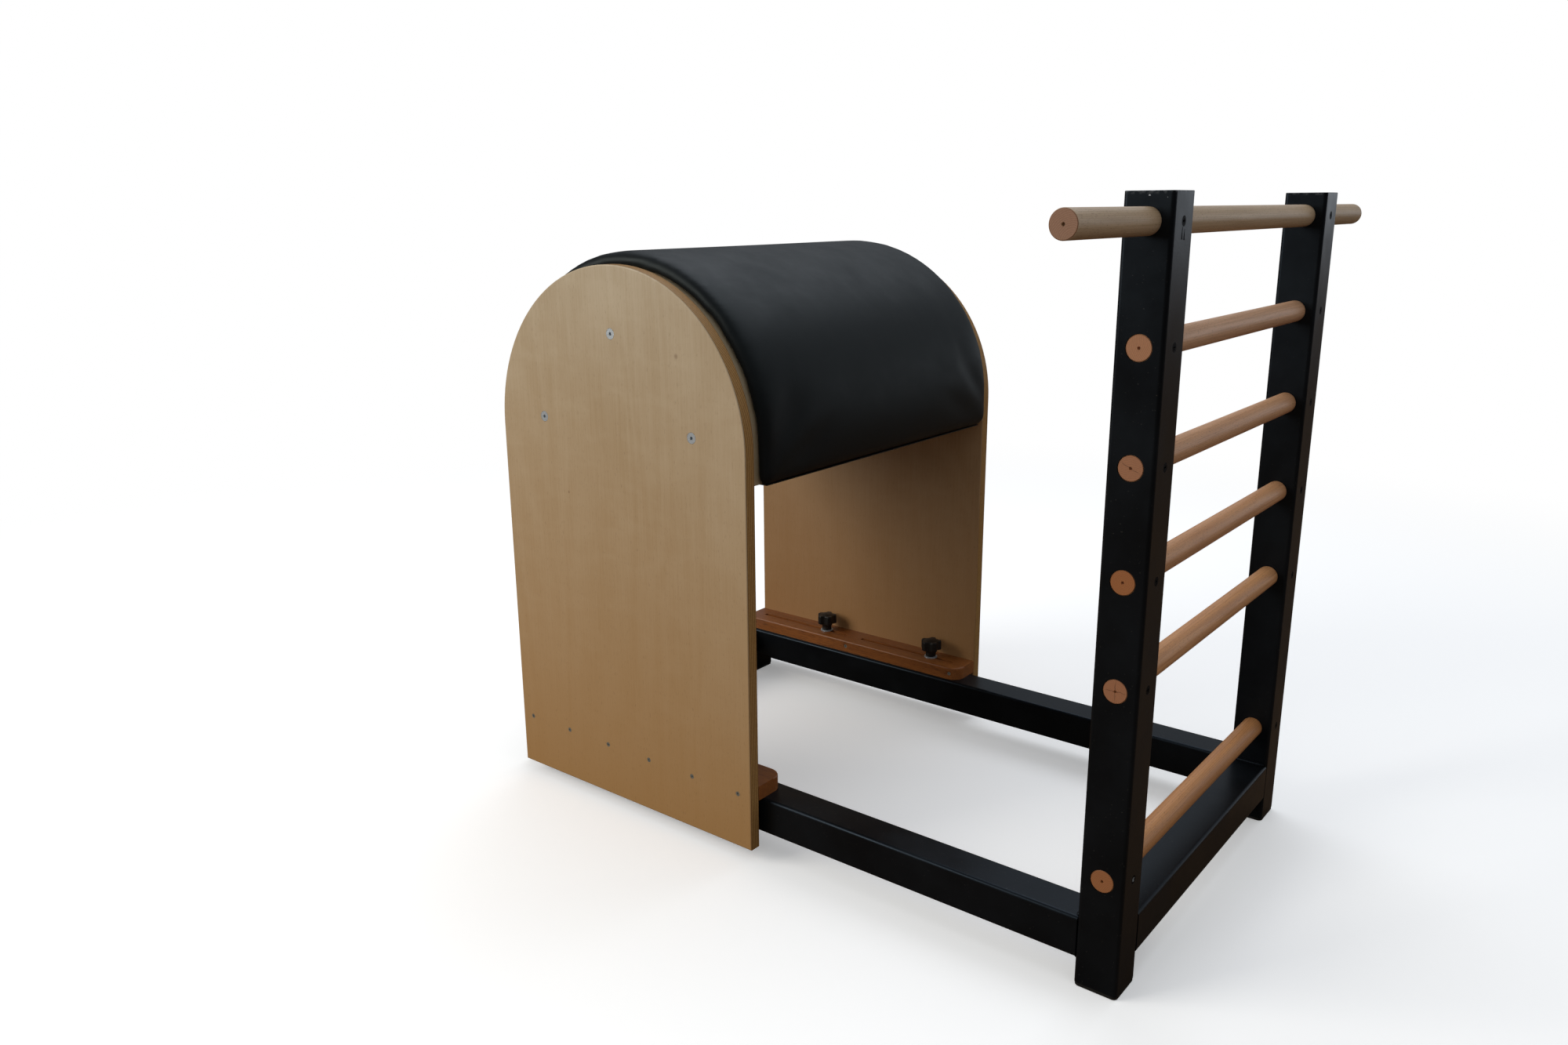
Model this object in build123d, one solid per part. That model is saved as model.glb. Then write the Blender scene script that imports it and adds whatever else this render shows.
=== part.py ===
"""Ladder barrel for studio exercise: a padded half barrel that slides on a welded steel base
towards or away from a ladder of wooden rungs.

Millimetres. +Z is up, +X runs from the barrel to the ladder, +Y is the left side seen that way.
The origin is on the floor, in the middle of the object's box.
"""
import os
from math import cos, pi, sin

from build123d import *

# Steel frame
frame_length = 1165
frame_width = 655
post_height = 1020
tube_side = 60
tube_wall = 3
tube_corner = 5
rail_underside = 41

# Caps and plugs that close the tubes
top_plate_thick = 3
top_plate_edge = 1
plug_base = 5
plug_skirt = 18
plug_wall = 3
plug_clearance = 0.3
plug_corner = 7
plug_edge = 1.5

# Rungs
rung_dia = 32
rung_hole_clearance = 0.25
rung_pitch = 140
rung_count = 5
top_rung_drop = 33
low_rung_height = 165
top_rung_overhang = 210
rung_end_recess = 0.5
rung_chamfer = 1
lathe_mark_dia = 4
lathe_mark_depth = 5

# Screws that hold the rungs in the posts
rung_screw_dia = 5
rung_screw_head_dia = 12
rung_screw_length = 30

# Barrel side panels
panel_width = 540
panel_height = 900
panel_thick = 21
panel_floor_gap = 22
panel_rail_gap = 9.5
panel_edge_radius = 2
barrel_x = -280.5

# Drum under the padding
drum_inset = 6
skin_thick = 6
former_thick = 18
former_rim = 138
batten_width = 30
batten_height = 40
glue_gap = 0.2
drum_end_gap = 0.3

# Padding
pad_thick = 30
pad_skirt = 46
cover_thick = 1.5
pad_shoulder = 22
pad_lower_corner = 20

# Bolts from the panels into the drum
bolt_inset = 105
side_bolt_rise = 20
bolt_dia = 8
bolt_head_dia = 17
bolt_head_thick = 2.4
bolt_socket = 5
bolt_socket_depth = 4
bolt_hole_clearance = 0.3
bolt_past_former = 6
tee_nut_flange_dia = 22
tee_nut_flange_thick = 1.5
tee_nut_barrel_dia = 10.5
tee_nut_barrel_length = 11
tee_nut_clearance = 0.1

# Runners
runner_width = 63
runner_thick = 24
runner_corner = 24
runner_edge = 3
runner_lift = 0.2
slot_end = 30
slot_web = 40
slot_width = 9
stud_forward = 59

# Wood screws
panel_screw_count = 6
panel_screw_end = 26
panel_screw_dia = 4
panel_screw_head_dia = 8
panel_screw_length = 45
runner_screw_dia = 3.5
runner_screw_head_dia = 7
runner_screw_length = 50
runner_screw_sink = 1.2
runner_screw_end = 20
screw_hole_clearance = 0.1

# Cross recess of a wood screw, as shares of its head's diameter
recess_span = 0.5
recess_slot = 0.13
recess_depth = 0.2

# Clamp knobs
stud_dia = 8
thread_clearance = 0.06
stud_hole_clearance = 0.5
washer_dia = 26
washer_hole_clearance = 0.3
washer_thick = 2
washer_gap = 0.2
nut_flats = 13
nut_thick = 6.5
stud_past_nut = 4
knob_dia = 41
knob_lobes = 5
knob_lobe_radius = 3
knob_hollow_radius = 9
knob_hollow_reach = 24.5
knob_head_height = 22
knob_top_edge = 2.5
knob_lower_edge = 2
knob_neck_height = 14
knob_neck_dia = 20
knob_flare_height = 7.5
knob_foot_chamfer = 1
knob_cap_dia = 27
knob_dome = 3
stud_in_knob = 20
stud_end_gap = 0.5
stud_chamfer = 1

# How far a cutter runs on past the surface it opens
cut_extra = 2

# Places that follow from the sizes above
half_length = frame_length / 2
half_width = frame_width / 2
post_x = half_length - tube_side / 2
rear_x = -post_x
tube_y = half_width - tube_side / 2
tube_bore = tube_side - 2 * tube_wall
rail_z = rail_underside + tube_side / 2
rail_top = rail_underside + tube_side
rail_end = -half_length + plug_base
rail_length = half_length - tube_side - rail_end
panel_inner = half_width + panel_rail_gap
panel_mid = panel_inner + panel_thick / 2
panel_outer = panel_inner + panel_thick
arch_z = panel_floor_gap + panel_height - panel_width / 2
drum_half = panel_inner - drum_end_gap
drum_radius = panel_width / 2 - drum_inset
pad_radius = drum_radius + pad_thick
drum_bottom = arch_z - pad_skirt + cover_thick
former_radius = drum_radius - skin_thick - glue_gap
former_opening = former_radius - former_rim
batten_reach = former_radius - batten_width / 2
bolt_circle = panel_width / 2 - bolt_inset
runner_bottom = rail_top + runner_lift
runner_mid = runner_bottom + runner_thick / 2
runner_top = runner_bottom + runner_thick
strip_width = (runner_width - slot_width) / 2
runner_inner = panel_inner - runner_width
slot_y = panel_inner - runner_width / 2
slot_length = (panel_width - slot_web) / 2 - slot_end
slot_spacing = slot_length + slot_web
clamp_xs = [barrel_x + stud_forward + side * slot_spacing / 2 for side in (-1, 1)]
washer_bottom = runner_top + washer_gap
knob_bottom = washer_bottom + washer_thick
top_rung_height = post_height - top_rung_drop
rung_heights = [top_rung_height - step * rung_pitch for step in range(rung_count)] + [low_rung_height]
sides = {"left": 1, "right": -1}


def prism(profile, start, length, axis):
    """Extrude a flat profile, drawn about the origin, from start along X, Y or Z."""
    planes = {"x": Plane.YZ, "y": Plane.ZX, "z": Plane.XY}
    return Pos(*start) * extrude(planes[axis] * profile, amount=length)


def rod(dia, start, length, axis):
    return prism(Circle(dia / 2), start, length, axis)


def square_tube(start, length, axis):
    section = RectangleRounded(tube_side, tube_side, tube_corner)
    section -= RectangleRounded(tube_bore, tube_bore, tube_corner - tube_wall)
    return prism(section, start, length, axis)


def place(shape, point, towards):
    """Move a fastener drawn along +Z, head face at the origin, so that it is driven towards an axis."""
    return Plane(origin=point, z_dir=towards) * shape


def turned(outline):
    """Solid turned about Z from a line or from (radius, height) points."""
    if isinstance(outline, list):
        outline = Polyline(*outline, close=True)
    return revolve(Plane.XZ * make_face(outline), Axis.Z)


def countersunk_screw(dia, head_dia, length):
    """Screw that starts at z=0 with its flat head face and runs along +Z to a point."""
    cone = (head_dia - dia) / 2
    outline = [(0, 0), (head_dia / 2, 0), (dia / 2, cone), (dia / 2, length - dia), (0, length)]
    span = recess_span * head_dia
    slot = recess_slot * head_dia
    cross = Rectangle(span, slot) + Rectangle(slot, span)
    return turned(outline) - extrude(cross, amount=recess_depth * head_dia)


def screw_hole(dia, head_dia, length):
    """Cutter for a countersunk screw, a clearance larger all round."""
    radius = dia / 2 + screw_hole_clearance
    cone = (head_dia - dia) / 2
    bottom = length + screw_hole_clearance
    mouth = radius + cone + cut_extra
    return turned([(0, -cut_extra), (mouth, -cut_extra), (radius, cone), (radius, bottom), (0, bottom)])


def arch_face(radius, bottom):
    """Half disc on a rectangle, drawn about the drum's axis."""
    outline = Polyline((radius, 0), (radius, bottom), (-radius, bottom), (-radius, 0))
    return make_face(outline + RadiusArc((radius, 0), (-radius, 0), -radius))


def across_drum(profile, centre_y, thick):
    """Board with a profile drawn about the drum's axis, centred at centre_y."""
    return Pos(barrel_x, centre_y, arch_z) * extrude(Plane.XZ * profile, amount=thick / 2, both=True)


# Frame

def post(side):
    """Ladder post: square tube with a through hole for each rung and a screw hole on the far face."""
    y = side * tube_y
    tube = square_tube((post_x, y, plug_base), post_height - top_plate_thick - plug_base, "z")
    hole_dia = rung_dia + 2 * rung_hole_clearance
    for z in rung_heights:
        tube -= rod(hole_dia, (post_x, y - tube_side, z), 2 * tube_side, "y")
        tube -= place(rung_screw_hole, (half_length, y, z), (-1, 0, 0))
    return tube


def top_plate(side):
    outline = RectangleRounded(tube_side, tube_side, tube_corner)
    plate = prism(outline, (post_x, side * tube_y, post_height - top_plate_thick), top_plate_thick, "z")
    return fillet(plate.faces().sort_by(Axis.Z)[-1].edges(), top_plate_edge)


def rail(side):
    """Base rail with two holes in its top wall for the clamp studs."""
    tube = square_tube((rail_end, side * tube_y, rail_z), rail_length, "x")
    for x in clamp_xs:
        dia = stud_dia + 2 * stud_hole_clearance
        tube -= rod(dia, (x, side * slot_y, rail_top - 2 * tube_wall), 3 * tube_wall, "z")
    return tube


def cross_tube(x):
    return square_tube((x, tube_side - half_width, rail_z), frame_width - 2 * tube_side, "y")


def rear_leg(side):
    return square_tube((rear_x, side * tube_y, plug_base), rail_underside - plug_base, "z")


def tube_plug():
    """Plastic plug for a tube's end, drawn with its outer face down at z=0."""
    plug = extrude(RectangleRounded(tube_side, tube_side, plug_corner), amount=plug_base)
    plug = fillet(plug.faces().sort_by(Axis.Z)[0].edges(), plug_edge)
    bore = tube_bore - 2 * plug_clearance
    ring = RectangleRounded(bore, bore, plug_wall)
    ring -= RectangleRounded(bore - 2 * plug_wall, bore - 2 * plug_wall, plug_wall / 2)
    return plug + extrude(Plane.XY.offset(plug_base) * ring, amount=plug_skirt)


def rung(height, overhang):
    """Turned rung with the lathe centre's mark in both ends."""
    half = half_width + overhang
    bar = rod(rung_dia, (post_x, -half, height), 2 * half, "y")
    bar = chamfer(bar.edges().filter_by(GeomType.CIRCLE), rung_chamfer)
    for side in sides.values():
        mark = (post_x, side * half - lathe_mark_depth, height)
        bar -= rod(lathe_mark_dia, mark, 2 * lathe_mark_depth, "y")
        bar -= place(rung_screw_hole, (half_length, side * tube_y, height), (-1, 0, 0))
    return bar


# Barrel

def side_panel(side):
    """Arched plywood panel with countersunk holes for its bolts and screws."""
    outline = arch_face(panel_width / 2, panel_floor_gap - arch_z)
    panel = across_drum(outline, side * panel_mid, panel_thick)
    panel = fillet(panel.faces().filter_by(Axis.Y).edges(), panel_edge_radius)
    for x, z in bolt_places:
        panel -= place(bolt_hole, (x, side * panel_outer, z), (0, -side, 0))
    for x in panel_screw_xs:
        panel -= place(panel_screw_hole, (x, side * panel_outer, runner_mid), (0, -side, 0))
    return panel


def former(centre_y, bolted):
    """Plywood arch inside the drum, open below and notched for the battens."""
    bottom = drum_bottom - arch_z
    arch = arch_face(former_radius, bottom)
    arch -= Circle(former_opening)
    arch -= Pos(0, bottom) * Rectangle(2 * former_opening, -2 * bottom)
    notch = Rectangle(batten_width + 2 * glue_gap, batten_height + 2 * glue_gap)
    for edge in (-1, 1):
        arch -= Pos(edge * batten_reach, bottom + batten_height / 2) * notch
    board = across_drum(arch, centre_y, former_thick)
    if bolted:
        dia = tee_nut_barrel_dia + 2 * tee_nut_clearance
        for x, z in bolt_places:
            board -= rod(dia, (x, centre_y - former_thick, z), 2 * former_thick, "y")
    return board


def drum_skin():
    """Thin plywood bent over the formers."""
    bottom = drum_bottom - arch_z
    inner = drum_radius - skin_thick
    ring = arch_face(drum_radius, bottom) - arch_face(inner, bottom)
    return across_drum(ring, 0, 2 * drum_half)


def batten(edge):
    """Lower batten that the cover is stapled to."""
    centre = Pos(barrel_x + edge * batten_reach, 0, drum_bottom + batten_height / 2)
    return centre * Box(batten_width, 2 * drum_half, batten_height)


def pad_form(radius, half, shoulder, bottom, corner):
    """Padding over the drum: a rounded section turned over the arch, then carried down as skirts."""
    inner = drum_radius + glue_gap
    outline = Polyline((inner, half), (inner, -half), (radius - shoulder, -half))
    outline += RadiusArc((radius - shoulder, -half), (radius, shoulder - half), -shoulder)
    outline += Line((radius, shoulder - half), (radius, half - shoulder))
    outline += RadiusArc((radius, half - shoulder), (radius - shoulder, half), -shoulder)
    outline += Line((radius - shoulder, half), (inner, half))
    section = make_face(outline)
    form = revolve(section, -Axis.Y, 180)
    for turn in (0, 180):
        skirt = extrude(Rot(0, 0, turn) * section, amount=bottom - arch_z)
        lower = skirt.faces().sort_by(Axis.Z)[0].edges()
        outer = [edge for edge in lower if abs(edge.center().X) > radius - shoulder]
        form += fillet(outer, corner)
    return Pos(barrel_x, 0, arch_z) * form


def foam_pad():
    return pad_form(pad_radius - cover_thick, drum_half - cover_thick, pad_shoulder - cover_thick,
                    drum_bottom, pad_lower_corner - cover_thick)


def vinyl_cover(foam):
    """Cover that wraps the foam and is lapped under the battens."""
    bottom = drum_bottom - cover_thick
    cover = pad_form(pad_radius, drum_half, pad_shoulder, bottom, pad_lower_corner) - foam
    inner = former_radius - batten_width
    outer = pad_radius - pad_lower_corner
    lap = Box(outer - inner, 2 * (drum_half - pad_shoulder), cover_thick)
    for edge in (-1, 1):
        cover += Pos(barrel_x + edge * (inner + outer) / 2, 0, bottom + cover_thick / 2) * lap
    return cover


def connector_bolt():
    """Furniture bolt with a flat round head and a hexagon socket, head face at z=0."""
    length = panel_thick + drum_end_gap + former_thick + bolt_past_former
    cone = (bolt_head_dia - bolt_dia) / 2
    outline = [(0, 0), (bolt_head_dia / 2, 0), (bolt_head_dia / 2, bolt_head_thick)]
    outline += [(bolt_dia / 2, bolt_head_thick + cone), (bolt_dia / 2, length), (0, length)]
    socket = RegularPolygon(bolt_socket / 2, 6, major_radius=False)
    return turned(outline) - extrude(socket, amount=bolt_socket_depth)


def connector_hole():
    """Cutter for a furniture bolt, a clearance larger all round, through a side panel."""
    gap = bolt_hole_clearance
    rim = bolt_head_dia / 2 + gap
    radius = bolt_dia / 2 + gap
    cone = (bolt_head_dia - bolt_dia) / 2
    bottom = panel_thick + cut_extra
    outline = [(0, -cut_extra), (rim, -cut_extra), (rim, bolt_head_thick + gap)]
    return turned(outline + [(radius, bolt_head_thick + gap + cone), (radius, bottom), (0, bottom)])


def tee_nut():
    """Tee nut, flange underside at z=0 and barrel along +Z."""
    nut = rod(tee_nut_flange_dia, (0, 0, -tee_nut_flange_thick), tee_nut_flange_thick, "z")
    nut += rod(tee_nut_barrel_dia, (0, 0, 0), tee_nut_barrel_length, "z")
    thread_dia = bolt_dia + 2 * thread_clearance
    return nut - rod(thread_dia, (0, 0, -tee_nut_barrel_length), 3 * tee_nut_barrel_length, "z")


def runner_block(side, x, y, length, width):
    return Pos(barrel_x + x, side * y, runner_mid) * Box(length, width, runner_thick)


def drill_runner(piece, side):
    """Cut the holes for the screws that hold a runner together."""
    for x in runner_screw_xs:
        piece -= place(runner_screw_hole, (x, side * runner_screw_y, runner_mid), (0, side, 0))
    return piece


def inner_strip(side):
    """Strip on the runner's free side, with rounded corners and a rounded top edge."""
    bar = runner_block(side, 0, runner_inner + strip_width / 2, panel_width, strip_width)
    free_face = bar.faces().sort_by(Axis.Y, reverse=side < 0)[0]
    bar = fillet(free_face.edges().filter_by(Axis.Z), runner_corner)
    joint = bar.edges().filter_by(Axis.X).sort_by(lambda edge: abs(edge.center().Y))[-2:]
    top = bar.faces().sort_by(Axis.Z)[-1].edges()
    rim = [edge for edge in top if edge not in joint]
    return drill_runner(fillet(rim, runner_edge), side)


def outer_strip(side):
    """Strip that the side panel is screwed to."""
    bar = runner_block(side, 0, panel_inner - strip_width / 2, panel_width, strip_width)
    for x in panel_screw_xs:
        bar -= place(panel_screw_hole, (x, side * panel_outer, runner_mid), (0, -side, 0))
    return drill_runner(bar, side)


def spacers(side):
    """Blocks between the two strips of a runner, which leave its slots."""
    end_x = (panel_width - slot_end) / 2
    places = [(-end_x, slot_end), (0, slot_web), (end_x, slot_end)]
    return [drill_runner(runner_block(side, x, slot_y, length, slot_width), side) for x, length in places]


# Clamps

def knob_head():
    """Lobed grip on a flared neck, its foot at z=0, with a blind hole for the stud."""
    grip = Circle(knob_dia / 2)
    for hollow in range(knob_lobes):
        angle = 2 * pi * hollow / knob_lobes
        centre = Pos(knob_hollow_reach * cos(angle), knob_hollow_reach * sin(angle))
        grip -= centre * Circle(knob_hollow_radius)
    grip = fillet(grip.vertices(), knob_lobe_radius)
    head = extrude(Plane.XY.offset(knob_neck_height) * grip, amount=knob_head_height - knob_dome)
    head = fillet(head.faces().sort_by(Axis.Z)[-1].edges(), knob_top_edge)
    head = fillet(head.faces().sort_by(Axis.Z)[0].edges(), knob_lower_edge)
    top = knob_neck_height + knob_head_height
    neck = knob_neck_dia / 2
    cap = knob_cap_dia / 2
    foot = knob_foot_chamfer
    outline = Polyline((0, top), (0, 0), (neck - foot, 0), (neck, foot),
                       (neck, knob_neck_height - knob_flare_height),
                       (cap, knob_neck_height + knob_lower_edge), (cap, top - knob_dome))
    outline += RadiusArc((cap, top - knob_dome), (0, top), -(cap ** 2 + knob_dome ** 2) / (2 * knob_dome))
    bore = rod(stud_dia + 2 * thread_clearance, (0, 0, -cut_extra), stud_in_knob + cut_extra, "z")
    return head + turned(outline) - bore


def knob_stud():
    """Steel stud of a knob, from inside its neck to below the nut in the rail."""
    lower = rail_top - tube_wall - nut_thick - stud_past_nut
    upper = knob_bottom + stud_in_knob - stud_end_gap
    stud = rod(stud_dia, (0, 0, lower), upper - lower, "z")
    return chamfer(stud.faces().sort_by(Axis.Z)[0].edges(), stud_chamfer)


def washer():
    ring = Circle(washer_dia / 2) - Circle(stud_dia / 2 + washer_hole_clearance)
    return extrude(Plane.XY.offset(washer_bottom) * ring, amount=washer_thick)


def clamp_nut():
    outline = RegularPolygon(nut_flats / 2, 6, major_radius=False) - Circle(stud_dia / 2 + thread_clearance)
    return extrude(Plane.XY.offset(rail_top - tube_wall) * outline, amount=-nut_thick)


# Shared places and fasteners

bolt_places = [(barrel_x, arch_z + bolt_circle)]
bolt_places += [(barrel_x + edge * bolt_circle, arch_z + side_bolt_rise) for edge in (-1, 1)]
panel_screw_spacing = (panel_width - 2 * panel_screw_end) / (panel_screw_count - 1)
panel_screw_xs = [barrel_x + (step - (panel_screw_count - 1) / 2) * panel_screw_spacing
                  for step in range(panel_screw_count)]
runner_screw_reach = panel_width / 2 - runner_screw_end
runner_screw_xs = [barrel_x + step * runner_screw_reach for step in (-1, 0, 1)]
runner_screw_y = runner_inner + runner_screw_sink

rung_screw = countersunk_screw(rung_screw_dia, rung_screw_head_dia, rung_screw_length)
rung_screw_hole = screw_hole(rung_screw_dia, rung_screw_head_dia, rung_screw_length)
panel_screw = countersunk_screw(panel_screw_dia, panel_screw_head_dia, panel_screw_length)
panel_screw_hole = screw_hole(panel_screw_dia, panel_screw_head_dia, panel_screw_length)
runner_screw = countersunk_screw(runner_screw_dia, runner_screw_head_dia, runner_screw_length)
runner_screw_hole = screw_hole(runner_screw_dia, runner_screw_head_dia, runner_screw_length)
bolt_hole = connector_hole()

parts = {}
for name, side in sides.items():
    parts[f"{name}_post"] = post(side)
    parts[f"{name}_top_plate"] = top_plate(side)
    parts[f"{name}_rail"] = rail(side)
    parts[f"{name}_rear_leg"] = rear_leg(side)
    foot = tube_plug()
    parts[f"{name}_front_foot"] = Pos(post_x, side * tube_y, 0) * foot
    parts[f"{name}_rear_foot"] = Pos(rear_x, side * tube_y, 0) * foot
    parts[f"{name}_rail_plug"] = place(foot, (-half_length, side * tube_y, rail_z), (1, 0, 0))
    parts[f"{name}_panel"] = side_panel(side)
    parts[f"{name}_former"] = former(side * (drum_half - former_thick / 2), True)
    parts[f"{name}_inner_strip"] = inner_strip(side)
    parts[f"{name}_outer_strip"] = outer_strip(side)
    parts[f"{name}_spacers"] = spacers(side)

parts["front_cross_tube"] = cross_tube(post_x)
parts["rear_cross_tube"] = cross_tube(rear_x)
parts["top_rung"] = rung(top_rung_height, top_rung_overhang)
for number, height in enumerate(rung_heights[1:-1], 2):
    parts[f"rung_{number}"] = rung(height, -rung_end_recess)
parts["low_rung"] = rung(low_rung_height, -rung_end_recess)
parts["middle_former"] = former(0, False)
parts["drum_skin"] = drum_skin()
parts["front_batten"] = batten(1)
parts["rear_batten"] = batten(-1)
parts["foam_pad"] = foam_pad()
parts["vinyl_cover"] = vinyl_cover(parts["foam_pad"])

parts["rung_screws"] = [place(rung_screw, (half_length, side * tube_y, z), (-1, 0, 0))
                        for side in sides.values() for z in rung_heights]
parts["drum_bolts"] = [place(connector_bolt(), (x, side * panel_outer, z), (0, -side, 0))
                       for side in sides.values() for x, z in bolt_places]
tee_nut_y = drum_half - former_thick
parts["drum_tee_nuts"] = [place(tee_nut(), (x, side * tee_nut_y, z), (0, side, 0))
                          for side in sides.values() for x, z in bolt_places]
parts["panel_screws"] = [place(panel_screw, (x, side * panel_outer, runner_mid), (0, -side, 0))
                         for side in sides.values() for x in panel_screw_xs]
parts["runner_screws"] = [place(runner_screw, (x, side * runner_screw_y, runner_mid), (0, side, 0))
                          for side in sides.values() for x in runner_screw_xs]
clamps = {f"{name}_{end}": (x, side * slot_y)
          for name, side in sides.items() for end, x in zip(("rear", "front"), clamp_xs)}
parts["clamp_washers"] = [Pos(x, y, 0) * washer() for x, y in clamps.values()]
parts["clamp_nuts"] = [Pos(x, y, 0) * clamp_nut() for x, y in clamps.values()]
for name, (x, y) in clamps.items():
    parts[f"{name}_stud"] = Pos(x, y, 0) * knob_stud()
    parts[f"{name}_knob"] = Pos(x, y, knob_bottom) * knob_head()

os.makedirs("parts", exist_ok=True)
for name, shape in parts.items():
    solids = shape if isinstance(shape, list) else [shape]
    export_step(Compound([solid for piece in solids for solid in piece.solids()]), f"parts/{name}.step")
    print(name, len(solids))
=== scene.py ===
import math

import bpy
from mathutils import Matrix, Vector


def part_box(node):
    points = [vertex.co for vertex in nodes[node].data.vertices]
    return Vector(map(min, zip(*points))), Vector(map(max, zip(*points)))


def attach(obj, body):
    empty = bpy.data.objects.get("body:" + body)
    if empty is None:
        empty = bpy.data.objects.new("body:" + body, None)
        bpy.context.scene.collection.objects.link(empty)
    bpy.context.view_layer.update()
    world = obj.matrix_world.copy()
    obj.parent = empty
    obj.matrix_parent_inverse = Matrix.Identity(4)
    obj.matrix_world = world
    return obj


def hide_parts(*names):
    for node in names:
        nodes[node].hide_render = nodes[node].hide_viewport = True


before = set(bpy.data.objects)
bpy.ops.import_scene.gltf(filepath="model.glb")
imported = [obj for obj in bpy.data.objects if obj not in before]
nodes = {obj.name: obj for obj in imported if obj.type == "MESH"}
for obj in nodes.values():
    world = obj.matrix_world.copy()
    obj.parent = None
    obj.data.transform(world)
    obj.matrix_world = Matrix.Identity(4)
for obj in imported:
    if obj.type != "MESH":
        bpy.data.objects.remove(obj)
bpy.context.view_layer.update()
print("loaded the packed ladder barrel:", len(nodes), "nodes")

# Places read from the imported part, in metres
skinLow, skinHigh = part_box("drum_skin")
postLow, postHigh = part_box("right_post")
railLow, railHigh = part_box("right_rail")
crossLow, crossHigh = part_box("rear_cross_tube")
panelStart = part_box("left_panel")[0].y
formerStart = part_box("left_former")[0].y
drumX = (skinLow.x + skinHigh.x) / 2
skinRadius = (skinHigh.x - skinLow.x) / 2
drumZ = skinHigh.z - skinRadius


def linearColour(hexColour):  # sRGB hex to the linear values that a socket holds
    shares = [int(hexColour[i:i + 2], 16) / 255 for i in (1, 3, 5)]
    return [s / 12.92 if s <= 0.04045 else ((s + 0.055) / 1.055) ** 2.4 for s in shares] + [1.0]


def addNode(tree, kind, inputs=None, **settings):
    node = tree.nodes.new(kind)
    for name, value in settings.items():
        setattr(node, name, value)
    for socket, value in (inputs or {}).items():
        if isinstance(value, bpy.types.NodeSocket):
            tree.links.new(value, node.inputs[socket])
        else:
            node.inputs[socket].default_value = value
    return node


def newMaterial(name):  # the material, its tree, its shader and the place coordinates of the piece
    material = bpy.data.materials.new(name)
    material.use_nodes = True
    tree = material.node_tree
    tree.nodes.clear()
    shader = addNode(tree, "ShaderNodeBsdfPrincipled")
    addNode(tree, "ShaderNodeOutputMaterial", {"Surface": shader.outputs["BSDF"]})
    place = addNode(tree, "ShaderNodeTexCoord").outputs["Object"]
    return material, tree, shader, place


def axisOf(tree, vector, axis):
    return addNode(tree, "ShaderNodeSeparateXYZ", {0: vector}).outputs[axis]


def scaled(tree, place, x, y, z):  # coordinates times a scale on each axis
    return addNode(tree, "ShaderNodeVectorMath", {0: place, 1: (x, y, z)}, operation="MULTIPLY").outputs[0]


def noiseOf(tree, vector, scale=1.0, detail=2.0, roughness=0.5, distortion=0.0):
    return addNode(tree, "ShaderNodeTexNoise", {
        "Vector": vector, "Scale": scale, "Detail": detail,
        "Roughness": roughness, "Distortion": distortion}).outputs["Fac"]


def sums(tree, operation, first, second=0.0, third=0.0, clamp=False):
    return addNode(tree, "ShaderNodeMath", {0: first, 1: second, 2: third},
                   operation=operation, use_clamp=clamp).outputs[0]


def ranged(tree, value, low, high, toLow=0.0, toHigh=1.0, curve="LINEAR"):
    return addNode(tree, "ShaderNodeMapRange", {
        "Value": value, "From Min": low, "From Max": high, "To Min": toLow, "To Max": toHigh},
        interpolation_type=curve).outputs["Result"]


def blended(tree, share, first, second, mode="MIX"):  # colours are hex text or sockets
    node = addNode(tree, "ShaderNodeMix", {0: share}, data_type="RGBA", blend_type=mode)
    for socket, colour in ((6, first), (7, second)):
        if isinstance(colour, str):
            node.inputs[socket].default_value = linearColour(colour)
        else:
            tree.links.new(colour, node.inputs[socket])
    return node.outputs[2]


def roughened(tree, shader, height, distance, strength=1.0):
    bump = addNode(tree, "ShaderNodeBump", {"Height": height, "Distance": distance, "Strength": strength})
    tree.links.new(bump.outputs["Normal"], shader.inputs["Normal"])


def fromAxis(tree, place, centreX, centreZ):  # distance from a line along Y, and the angle round it
    x = sums(tree, "SUBTRACT", axisOf(tree, place, "X"), centreX)
    z = sums(tree, "SUBTRACT", axisOf(tree, place, "Z"), centreZ)
    squares = sums(tree, "MULTIPLY_ADD", z, z, sums(tree, "MULTIPLY", x, x))
    return sums(tree, "SQRT", squares), sums(tree, "ARCTAN2", z, x), axisOf(tree, place, "Y")


def centred(tree, value, share, base, clamp=False):  # adds a noise about its middle to a base
    return sums(tree, "MULTIPLY_ADD", sums(tree, "SUBTRACT", value, 0.5), share, base, clamp)


def finish(names, material):
    for name in names:
        nodes[name].data.materials.clear()
        nodes[name].data.materials.append(material)


both = ("left_", "right_")

# Birch plywood: rotary-cut faces with a soft upright figure, and an edge of 1.4 mm plies,
# light where the grain runs along the edge and darker where it ends there
panelPly = {
    "name": "birchPlywoodSatinLacquer",
    # painted light: the tone towards the foot is painted warm bounce light from a wooden floor
    "faceLight": "#bfb095", "faceDark": "#a08964", "paintedBounceTone": "#a67a44", "flame": "#c6b89c",
    # painted shade: the inner faces get a darker amber tint
    "paintedShadeTint": "#d2a25e", "paintedShadeShare": 0.35, "fleck": "#6b4d2e", "knot": "#6a4a2a",
    "edgeLight": "#d0a76c", "edgeDark": "#a0753f", "glue": "#4a301b", "edgeSpecular": 0.12,
    "footHeight": 0.03, "headHeight": 0.92, "paintedBounceShare": 0.86,
    "ply": 0.0014, "boardStart": panelStart, "board": 0.021, "roughness": 0.46,
    "knots": [(-0.142, 0.792, 0.0014), (-0.196, 0.913, 0.0014), (-0.395, 0.55, 0.0008)],
}
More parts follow.
